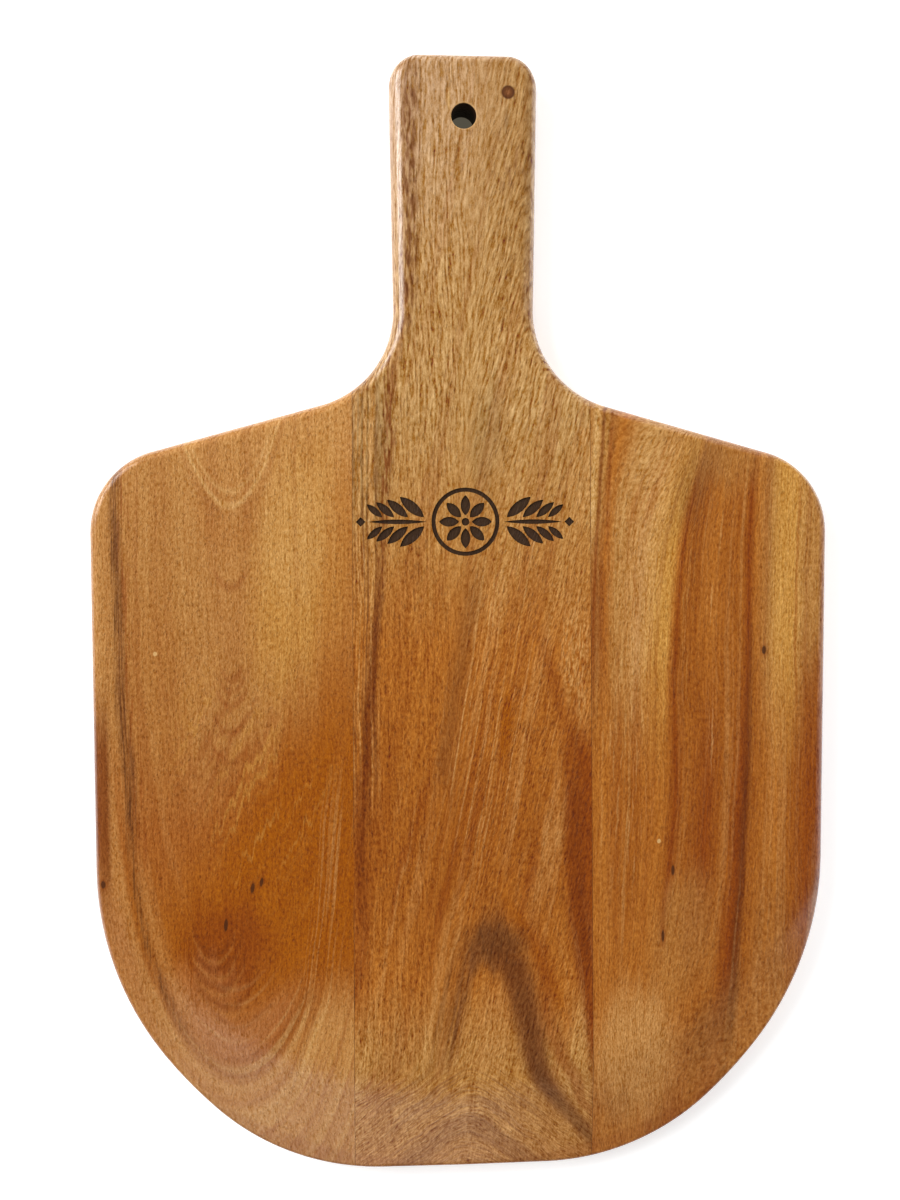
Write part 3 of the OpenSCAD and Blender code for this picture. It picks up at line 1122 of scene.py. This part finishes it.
def handle_mottle(g):
    """Purple-brown mottle down the handle's left side, and a little on its right."""
    side = [(60, -30), (120, -25), (160, -22), (212, -22), (235, -22)]
    left = g.streak(side, 3.6, 2.6, g.window(118, 226, 14))
    g.lay("plum", left * g.ease(g.fibres(1.8, 7, 66, 2.0), -0.1, 0.12, 0.3, 1.0), 0.9)
    right = g.patch((20, 190), (8, 16), -10)
    g.lay("plum", right * g.ease(g.fibres(2, 7, 67, 2.0), -0.05, 0.15), 0.4)


def centre_streaks(g, slanted):
    """Slanted shadow and glint up the middle, short red-brown streaks and pale porous spots."""
    shadow = [(-75, -11), (-63, -10), (-20, -3), (18, 5), (40, 9)]
    g.lay("plum", g.streak(shadow, 2.6, 4.0, g.window(-68, 20, 12)), 0.42)
    glint = [(-90, -8), (-63, -5.6), (-20, 1.4), (18, 7.4), (60, 16)]
    glint = g.streak(glint, 0.35, 0.7, g.window(-78, 30, 12))
    g.lay("straw", glint * g.ease(slanted, -0.1, 0.1, 0.3, 1.0), 0.3)
    g.spots(
        ("russet", 0.55, (-19, -78), (1.6, 20), -12, 0.7),
        ("russet", 0.55, (-27, -98), (1.4, 18), -12, 0.7),
        ("russet", 0.55, (3, -84), (1.6, 22), -12, 0.7),
        ("russet", 0.55, (27, -106), (1.5, 16), -12, 0.7),
        ("russet", 0.55, (-8, -112), (1.6, 20), -12, 0.7),
        ("sand", 0.35, (36, -92), (4, 26), -14, 0.8),
        ("flame", 0.85, (17.2, -42), (2.6, 18), -4),
    )
    porous = g.ease(g.fibres(1.2, 7, 68, 2.0), -0.12, 0.08)
    g.lay("sand", g.patch((46.5, -10), (5.5, 28)) * porous, 0.75)
    porous = g.ease(g.fibres(1.4, 9, 69, 2.0), -0.1, 0.08)
    g.lay("sand", g.patch((48, 62), (4.5, 30), -6) * porous, 0.6)


def centre_right_band(g):
    """Red-brown band along the right seam, the streak that leads to it and one over the arch."""
    edge = g.curve(g.y, [
        (-200, 56), (-185, 52.5), (-150, 47.5), (-123, 43.4), (-90, 41.8),
        (-57, 42.2), (-40, 45), (-20, 50), (0, 54),
    ])
    g.lay("russet", g.ease(g.gx - edge, -3.0, 3.2) * g.ease(g.gy, -34, -58), 0.95)
    middle = g.ease(g.y, -178, -130) * g.ease(g.y, -46, -76)
    g.lay("chestnut", g.bump_at(g.gx - edge, 4.6, 3.0, 4.0) * middle, 0.6)
    lead = [(-75, 47), (-49, 43), (-22, 37), (-5, 32), (20, 28)]
    lead = g.streak(lead, 1.8, 3.6, g.window(-62, -8, 14))
    g.lay("copper", lead, 0.5)
    g.lay("russet", lead, 0.45)
    over = [(-180, 47), (-170, 43.6), (-150, 36.1), (-131, 27.3), (-113, 18), (-95, 13)]
    g.lay("flame", g.streak(over, 1.6, 3.2, g.window(-165, -112, 14)), 0.65)


def chevrons(g):
    """Height on nested chevrons that fill the middle of the toe."""
    dx = g.x - 1.5
    return g.y + (dx * dx + 30.0).root() * 0.84 + g.fibres(14, 14, 161) * 5


def arch_wood(g):
    """Dark arch over the toe: a thick cap, a strong right leg and a faint left one."""
    axis = g.curve(g.y, [(-235, 0), (-205, 3), (-190, 12), (-171, 13), (-130, 13), (-60, 10)])
    rise = g.curve(g.y, [
        (-235, -3500), (-217, -2500), (-203, -1250), (-190, -360),
        (-171, 150), (-147, 244), (-133, 400), (-60, 1300),
    ])
    off = g.gx - axis
    arch = (off * off + rise) / 40
    low = g.ease(g.y, -112, -140)
    lined = g.ease(g.y, -100, -150) * 0.3 + g.ease(g.y, -180, -202) * 0.5
    g.grow(arch, 3.2, lined, seed=13.0)
    g.lay("tan", g.ease(arch, 7.0, -4.0) * low, 0.5)
    g.spots(("sand", 0.32, (12.8, -172), (6.0, 22), -4))
    g.lay("russet", g.bump_at(arch, 17.0, 2.0, 5.0) * g.ease(g.x, 8, 20) * low, 0.55)
    shape = arch_shape(g)
    arch_left_leg(g)
    toe_chevrons(g, shape)


def arch_shape(g):
    """The arch's cap and right leg, dark-cored, with a paler hollow under the cap."""
    leg = g.curve(g.y, [
        (-230, 55), (-217, 48.5), (-203, 38.8), (-190, 31.4), (-171, 27.4),
        (-160, 25.2), (-150, 22.5), (-142, 19.5), (-134, 14),
    ])
    girth = g.curve(g.y, [(-230, 3.0), (-205, 4.2), (-180, 5.0), (-155, 6.0), (-134, 8.0)])
    share = abs(g.gx - leg) / girth
    down = g.ease(g.y, -230, -216) * g.ease(g.y, -130, -142)
    cap = g.patch((12.5, -135.5), (13.0, 11.5), -6, 0.5, 0.4)
    shape = cap.most(g.ease(share, 1.75, 0.5) * down)
    hollow = g.patch((11.5, -159), (7.0, 12), 0, 0.5, 0.5)
    g.spots(("plum", 0.4, (11.0, -125), (4.5, 8), -16, 0.8, 0.5))
    g.lay("plum", shape * (1.0 - hollow * 0.85), 0.75)
    g.lay("chestnut", g.ease(share, 1.4, 0.4) * down, 0.32)
    core = g.patch((14.0, -134.0), (10.0, 7.0), -10, 0.8, 0.4)
    g.lay("umber", core.most(g.ease(share, 1.2, 0.0) * down * 0.9), 0.38)
    g.lay("umber", g.ease(share, 1.2, 0.1) * down * g.ease(g.y, -176, -200), 0.5)
    g.lay("umber", cap * g.ease(g.fibres(1.1, 7, 147), 0.02, 0.2), 0.4)
    return shape


def arch_left_leg(g):
    """The arch's left leg: a worn streak with a thinner one beside it."""
    leg = g.streak([(-205, -12), (-181, -6.4), (-165, -3.3), (-147, 0.5), (-130, 7)], 2.4, 3.6)
    beside = g.streak([(-205, -17), (-181, -13), (-165, -10), (-147, -6), (-130, 0)], 0.6, 2.4)
    stripes = g.fibres(0.9, 40, 141, across=g.gx - g.y * 0.2)
    worn = leg.most(beside * 0.6) * g.ease(stripes, -0.2, 0.1, 0.35, 1.0)
    g.lay("plum", worn * g.ease(g.y, -200, -166) * g.ease(g.y, -132, -142), 0.85)


def toe_chevrons(g, shape):
    """Chevrons of pale and grey-brown grain between the arch's legs."""
    mound = chevrons(g)
    rings = g.noise(mound / 1.5, g.x / 40, detail=1, seed=151)
    toe = g.ease(g.y, -180, -194) * g.ease(abs(g.x), 44, 26) * (1.0 - shape)
    g.lay("honey", toe * g.ease(rings, 0.0, 0.14), 0.3)
    g.lay("plum", toe * g.ease(rings, -0.02, -0.14), 0.4)
    g.lay("plum", toe * g.ease(mound, -200, -204) * g.ease(mound, -216, -209), 0.5)


def centre_texture(g):
    """Ropier on the handle, leaning on the right side and chevroned at the toe."""
    right_side = g.ease(g.gx - g.gy * 0.05, -12.0, 8.0)
    high = g.ease(g.gy, 0, 120)
    toe = g.ease(g.y, -178, -200)
    contrast = g.curve(g.gy, [
        (-235, 1.15), (-200, 1.1), (-160, 0.82), (20, 0.8),
        (70, 0.8), (120, 1.02), (170, 0.8), (235, 0.74),
    ])
    leans = ((g.gx - g.y * 0.24, g.y, right_side), (chevrons(g), g.x, toe * 0.6))
    ropes = high * 0.95 + 1.2 - toe * 0.2
    grit = high * -0.9 + 2.3
    g.texture(g.gx, contrast, 5.0, ropes, grit, pores=0.5, broad=0.6, leans=leans)


def handle_marks(g):
    """The knot near the handle's end with its tail, a pale scratch and a speck."""
    dx = g.x - 18.0
    dy = g.y - 216.2
    knot = (dx * dx + dy * dy).root()
    g.lay("plum", g.ease(knot, 2.9, 2.3), 1.0)
    g.lay("umber", g.ease(knot, 2.9, 2.0), 0.3)
    g.lay("umber", g.bump_at(knot, 2.3, 0.3, 0.6), 0.6)
    g.lay("rose", g.ease(knot, 1.5, 0.4), 0.35)
    tail = [(202, 16.5), (208, 17.2), (214, 18)]
    g.lay("umber", g.streak(tail, 0.6, 1.0, g.window(205, 213, 3)), 0.4)
    scratch = [(205, -6.9), (214, -7.1), (226, -7.3)]
    g.lay("straw", g.streak(scratch, 0.3, 0.35, g.window(213.5, 220.5, 1.5)), 1.0)
    g.speck((26.0, 143.5), (0.5, 0.9), 0.9)


def hole_reach(paint):
    """Distance from the axis of the hanging hole, and the hole's radius."""
    s = board_shape()
    along = paint.y - hole_y(s) / MM
    return (paint.x * paint.x + along * along).root(), s.hole_d / 2 / MM


def burn(g):
    """Burns the cut ornament and darkens the hanging hole's wall, both without gloss; the wall's near-black
    is partly its end grain and partly painted shade inside the hole.
    """
    o = bpy.context.scene.ornament_shape
    clear = 4.0
    high = g.bump_at(g.y, o.centre_y / MM, o.ring_r / MM + clear, 0.5)
    wide = g.bump_at(g.x, o.centre_x / MM, o.tip_x / MM + clear, 0.5)
    floor = -o.depth / MM
    under = g.ease(g.depth, -0.02, -0.08) * g.ease(g.depth, floor - 1.4, floor - 0.8)
    charred = under * high * wide
    g.lay("burnt", charred, 0.97)
    reach, radius = hole_reach(g)
    # Painted shade in part: the hole's wall is laid near-black, as shade inside the hole makes it
    bore_and_shade = g.ease(reach, radius + 0.2, radius + 0.02)
    g.lay("bore_and_shade", bore_and_shade, 0.97)
    g.dull = charred.most(bore_and_shade)
    g.lay("straw", g.bump_at(reach, radius + 0.4, 0.2, 0.2), 0.65)


# The right stave


def right_wood():
    """Stave of long bands: gold by the seam, two dark streaks with brown between, a red-brown rim."""
    g = Grain("wood_right", 21.0)
    shift = g.curve(g.y, [
        (-235, -19.5), (-185, -14), (-159, -10), (-134, -6), (-100, -2.6), (-40, 0),
        (-7, 0.6), (27, 2.5), (43, 5.8), (70, 14.8), (100, 24),
    ])
    off = (g.gx - 90) / 26
    lie = g.gx - shift * (-(off * off)).math("EXPONENT")
    right_ground(g, lie)
    right_seam_side(g)
    right_toe(g)
    right_fibres(g, lie)
    taper_tint_and_sheen(g)
    g.texture(lie, 0.66, reach=5.0, ropes=0.9, grit=2.4, pores=0.35, broad=0.5)
    g.speck((81.2, -91.5), (0.7, 0.9))
    g.knot((87.6, -104), (0.7, 2.2))
    g.knot((83.5, -132.1), (0.6, 2.6))
    g.knot((125.7, -11.2), (0.9, 1.7))
    return g.finish()


def right_ground(g, lie):
    """Bands of the upper and the lower part, which fade into each other, and the growth lines."""
    upper = g.bands(lie, [
        (50, "tan"), (55, "tan"), (58, "amber"), (62, "tan"), (66, "tan"), (71, "sand"),
        (80, "honey"), (84, "honey"), (86.6, "amber"), (88.2, "russet"), (89.8, "copper"),
        (97, "copper"), (103, "amber"), (109, "copper"), (115.5, "copper"), (118, "russet"),
        (121, "amber"), (127, "tan"), (132, "honey"), (138, "honey"), (143, "tan"),
        (149, "tan"), (153, "amber"),
    ])
    lower = g.bands(lie, [
        (50, "russet"), (53, "copper"), (58, "amber"), (64, "amber"), (70, "copper"),
        (76, "amber"), (83, "amber"), (86.6, "copper"), (88.5, "russet"), (93, "copper"),
        (103, "russet"), (110, "copper"), (115.5, "russet"), (118.3, "chestnut"),
        (120.8, "copper"), (130, "amber"), (136, "copper"), (145, "russet"), (153, "chestnut"),
    ])
    g.tone = g.blend(lower, upper, g.ease(g.gy, -75, 5))
    g.grow(lie, 3.6, 0.5)
    g.spots(
        ("tan", 0.6, (104, 84), (26, 24), -14, 0.5),
        ("straw", 0.28, (74, 38), (9, 56), -4, 0.6),
        ("amber", 0.25, (68, 20), (4, 50), -3, 0.7),
    )


def right_seam_side(g):
    """Pale and dark lines that run down beside the seam."""
    upper = g.ease(g.gy, 20, 50)
    pale = g.streak([(0, 52), (40, 52.8), (70, 54), (100, 55)], 1.0, 1.2)
    g.lay("straw", pale * upper, 0.75)
    first = [(-60, 51.6), (-31, 52.3), (0, 53.2), (27, 54.4), (60, 56.4), (100, 58)]
    g.lay("chestnut", g.streak(first, 0.4, 0.9) * g.ease(g.gy, -54, -30), 0.7)
    wedge = g.ease(g.gx, 60.5, 56.5) * g.ease(g.gy, -56, 0) * g.ease(g.gy, 50, 10)
    g.lay("russet", wedge, 0.6)
    second = g.streak([(0, 58.6), (30, 59), (60, 60), (100, 61.4)], 0.7, 0.9)
    g.lay("russet", second * g.ease(g.gy, 15, 45), 0.5)


def right_toe(g):
    """Gold and pale wood towards the toe, and the grey-brown shadows in it."""
    g.spots(
        ("amber", 0.7, (57, -96), (6, 56), 0, 0.5),
        ("russet", 0.4, (63, -72), (2.6, 52), 0, 0.7),
        ("amber", 0.75, (76, -168), (26, 36), -8),
        ("sand", 0.85, (71, -182), (17, 28), -8),
        ("tan", 0.45, (92, -134), (13, 26), -8),
        ("plum", 0.22, (129, -130), (8, 24), 0, 0.6),
        ("plum", 0.3, (61, -206), (9, 6), 34, 0.8),
    )
    g.lay("amber", g.ease(g.gy, -150, -190) * g.ease(g.gx, 100, 112), 0.5)
    g.spots(("plum", 0.45, (104, -172), (7, 22), -24, 0.7))
    thread = [
        (-200, 103), (-195, 106.3), (-160, 114.7), (-130, 115.7), (-75, 117.4), (-32, 119), (51, 119),
    ]
    g.lay("umber", g.streak(thread, 0.8, 2.6, g.window(-185, 0, 20)), 0.22)
    g.spots(("plum", 0.4, (97, 58), (7, 20), -26, 0.7))


def right_fibres(g, lie):
    """Wavy fibres in the brown band and in the gold on both sides of it, and the rim's tones."""
    wavy = lie + g.fibres(5, 9, 171) * 2.2
    run = g.fibres(1.1, 32, 173, across=wavy)
    brown = g.bump_at(lie, 91.5, 3.5, 4.0) * g.window(-30, 52, 16)
    g.lay("chestnut", brown * g.ease(run, 0.0, 0.18), 0.5)
    g.lay("tan", brown * g.ease(run, -0.04, -0.2), 0.4)
    left = g.bump_at(lie, 68.0, 9.0, 6.0) * g.window(-110, 76, 20)
    right = g.bump_at(lie, 103.5, 2.0, 2.5) * g.window(-60, 50, 20)
    g.lines(left + right, run, 0.04, 0.2, ("straw", 0.3), ("copper", 0.4))
    g.lay("copper", g.bump_at(lie, 139.6, 0.3, 0.7) * g.window(-40, 60, 16), 0.6)
    g.lay("flame", g.ease(g.x, 137, 145) * g.window(-108, -22, 18), 0.4)
    g.lay("russet", g.ease(g.x, 138, 146) * g.window(-104, -10, 22), 0.45)


# Glue and floor


def glue_film():
    """Dark amber film of cured glue."""
    paint = Paint("glue")
    tones = bpy.context.scene.wood_tones
    cloud = paint.noise(paint.x / 0.3, paint.y / 6, paint.z / 0.3) + 0.5
    paint.feed("Base Color", paint.blend(tones.glue, tones.umber, cloud))
    paint.feed("Roughness", 0.5)
    paint.feed("Specular IOR Level", 0.3)
    return paint.material


def pale_floor():
    """White floor, with a painted shadow only where it shows through the hanging hole."""
    paint = Paint("floor")
    studio = bpy.context.scene.board_studio
    reach, radius = hole_reach(paint)
    # Painted shadow: colour and glow dim where the floor shows through the hanging hole
    tone = paint.blend(studio.hole_floor_shadow, studio.floor_tone, paint.ease(reach, radius + 0.4, radius + 1.4))
    paint.feed("Base Color", tone)
    paint.feed("Emission Color", tone)
    paint.feed("Emission Strength", studio.floor_glow)
    paint.feed("Roughness", 0.9)
    return paint.material


# Operators


def add_piece(name, node, material, cuts):
    """Copies the blank, cuts the copy at its seams and lets it stand for its plain solid."""
    s = board_shape()
    line = Outline(s)
    piece = duplicate(the_blank(s, line), name)
    for seam, offset, keep_right in cuts:
        cut_at_seam(piece, line, seam, offset * s.glue_line / 2, keep_right)
    if node == "stave_centre":
        drill_hole(piece, s)
        cut_ornament(piece, bpy.context.scene.ornament_shape)
    finish_mesh(piece, material)
    stand_for(piece, node)


class BOARD_OT_staves(Operator):
    """Makes the three staves, the middle one with its hanging hole and ornament"""

    bl_idname = "board.staves"
    bl_label = "Staves"

    def execute(self, context):
        add_piece("left_board", "stave_left", left_wood(), [("left", -1, False)])
        cuts = [("left", 1, True), ("right", -1, False)]
        add_piece("middle_board", "stave_centre", centre_wood(), cuts)
        add_piece("right_board", "stave_right", right_wood(), [("right", 1, True)])
        return {"FINISHED"}


class BOARD_OT_glue_lines(Operator):
    """Makes the two films of glue, and takes the blank away"""

    bl_idname = "board.glue_lines"
    bl_label = "Glue lines"

    def execute(self, context):
        film = glue_film()
        for side in ("left", "right"):
            cuts = [(side, -1, True), (side, 1, False)]
            add_piece(f"{side}_glue", f"glue_line_{side}", film, cuts)
        bpy.data.objects.remove(bpy.data.objects["blank"])
        return {"FINISHED"}


class BOARD_OT_stage(Operator):
    """Sets out the floor, the lights and the camera"""

    bl_idname = "board.stage"
    bl_label = "Stage"

    def execute(self, context):
        studio = context.scene.board_studio
        self.set_floor(studio)
        self.set_lights(context, studio)
        self.set_camera(context, studio)
        context.scene.view_settings.view_transform = "Standard"
        return {"FINISHED"}

    def set_floor(self, studio):
        deselect()
        bpy.ops.mesh.primitive_plane_add(size=studio.floor_size, location=(0, 0, 0))
        floor = bpy.context.object
        floor.name = "floor"
        floor.data.materials.append(pale_floor())

    def set_lights(self, context, studio):
        """Soft square lights that face the board's middle, and a faint light from all round."""
        world = bpy.data.worlds.new("studio")
        world.use_nodes = True
        sky = world.node_tree.nodes["Background"]
        sky.inputs["Color"].default_value = (1, 1, 1, 1)
        sky.inputs["Strength"].default_value = studio.world
        context.scene.world = world
        places_and_widths = {
            "key": ((-1.75, 0.95, 1.2), 1.5),
            "top": ((0.4, 2.1, 1.2), 2.0),
            "right": ((2.1, -0.4, 1.15), 2.0),
            "front": ((-0.3, -1.75, 1.6), 1.2),
        }
        for name, (place, width) in places_and_widths.items():
            light = bpy.data.lights.new(name, "AREA")
            light.energy = getattr(studio, name)
            light.size = width
            lamp = bpy.data.objects.new(name, light)
            context.scene.collection.objects.link(lamp)
            lamp.location = place
            lamp.rotation_euler = (-lamp.location).to_track_quat("-Z", "Y").to_euler()

    def set_camera(self, context, studio):
        camera = bpy.data.cameras.new("camera")
        camera.sensor_width = 36
        camera.lens = studio.lens
        camera.clip_start = 10 * MM
        camera.clip_end = 20000 * MM
        viewer = bpy.data.objects.new("camera", camera)
        context.scene.collection.objects.link(viewer)
        viewer.location = (studio.camera_x, studio.camera_y, studio.camera_z)
        ahead = (Vector((studio.aim_x, studio.aim_y, 0)) - viewer.location).normalized()
        right = ahead.cross(Vector((0, 1, 0))).normalized()
        axes = Matrix((right, right.cross(ahead), -ahead)).transposed()
        viewer.rotation_euler = (axes @ Matrix.Rotation(studio.roll, 3, "Z")).to_euler()
        context.scene.camera = viewer


class BOARD_PT_sidebar(Panel):
    """Lists the steps that make the board, in the sidebar"""

    bl_label = "Serving board"
    bl_space_type = "VIEW_3D"
    bl_region_type = "UI"
    bl_category = "Board"

    def draw(self, context):
        for step in STEPS:
            self.layout.operator(step.bl_idname)


STEPS = (BOARD_OT_stage, BOARD_OT_staves, BOARD_OT_glue_lines)
GROUPS = {
    "board_shape": BoardShape,
    "ornament_shape": OrnamentShape,
    "wood_tones": WoodTones,
    "board_studio": BoardStudio,
}


def register():
    for kind in (*GROUPS.values(), *STEPS, BOARD_PT_sidebar):
        bpy.utils.register_class(kind)
    for name, kind in GROUPS.items():
        setattr(bpy.types.Scene, name, PointerProperty(type=kind))


def unregister():
    for name in GROUPS:
        delattr(bpy.types.Scene, name)
    for kind in reversed((*GROUPS.values(), *STEPS, BOARD_PT_sidebar)):
        bpy.utils.unregister_class(kind)


def main():
    register()
    bpy.ops.board.stage()
    bpy.ops.board.staves()
    bpy.ops.board.glue_lines()


if __name__ == "__main__":
    main()
